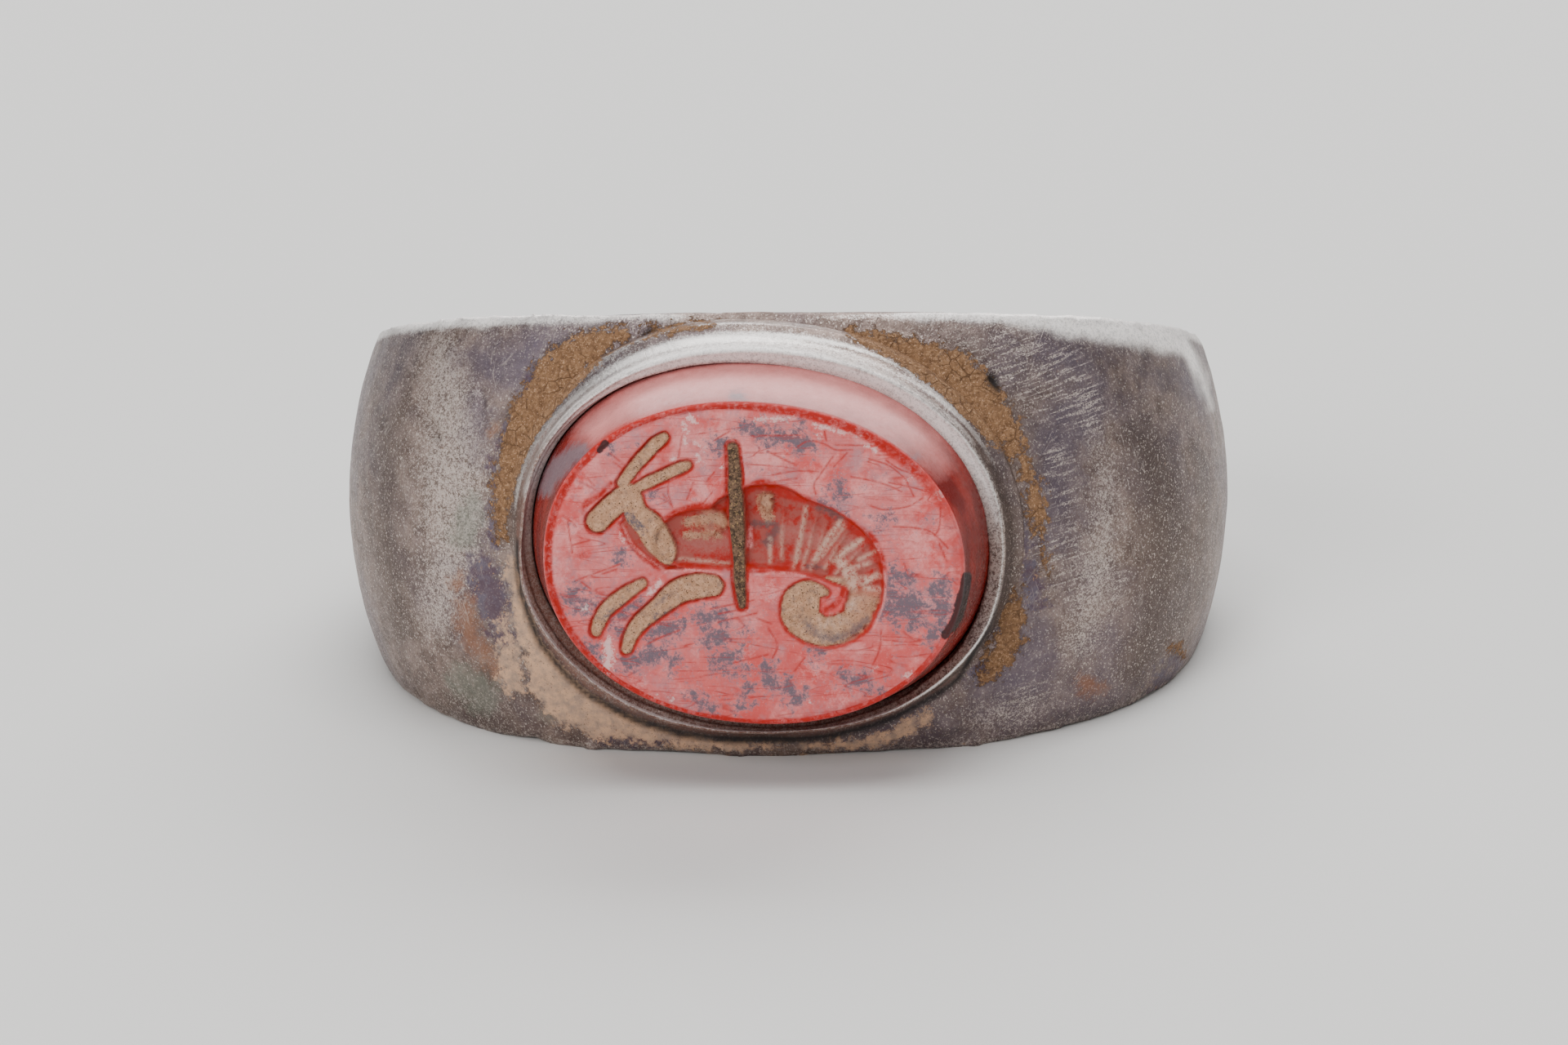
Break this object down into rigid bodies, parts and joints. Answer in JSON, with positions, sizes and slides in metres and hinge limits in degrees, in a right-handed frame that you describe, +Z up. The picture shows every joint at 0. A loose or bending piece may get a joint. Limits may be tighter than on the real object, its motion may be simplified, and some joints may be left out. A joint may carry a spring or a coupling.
{
  "type": "intaglio finger ring",
  "caption": "Ancient finger ring: a domed silver hoop with a raised oval bezel that holds a flat-topped red jasper engraved with a goat-fish.",
  "frame": {"origin": "on the surface that the ring lies on, under the middle of its bounding box", "axes": "+Z up with the ring lying on its lower filed edge, -Y the way the bezel faces, +X to the right of a viewer who looks at the bezel"},
  "size_m": [0.024, 0.0222, 0.0116],
  "materials": {
    "silver": "worn, tarnished silver with fine scratches and traces of soil",
    "red_jasper": "polished red jasper with a worn, hazy table"
  },
  "bodies": {
    "root": {"silver_hoop": "silver", "jasper_intaglio": "red_jasper"}
  },
  "joints": []
}
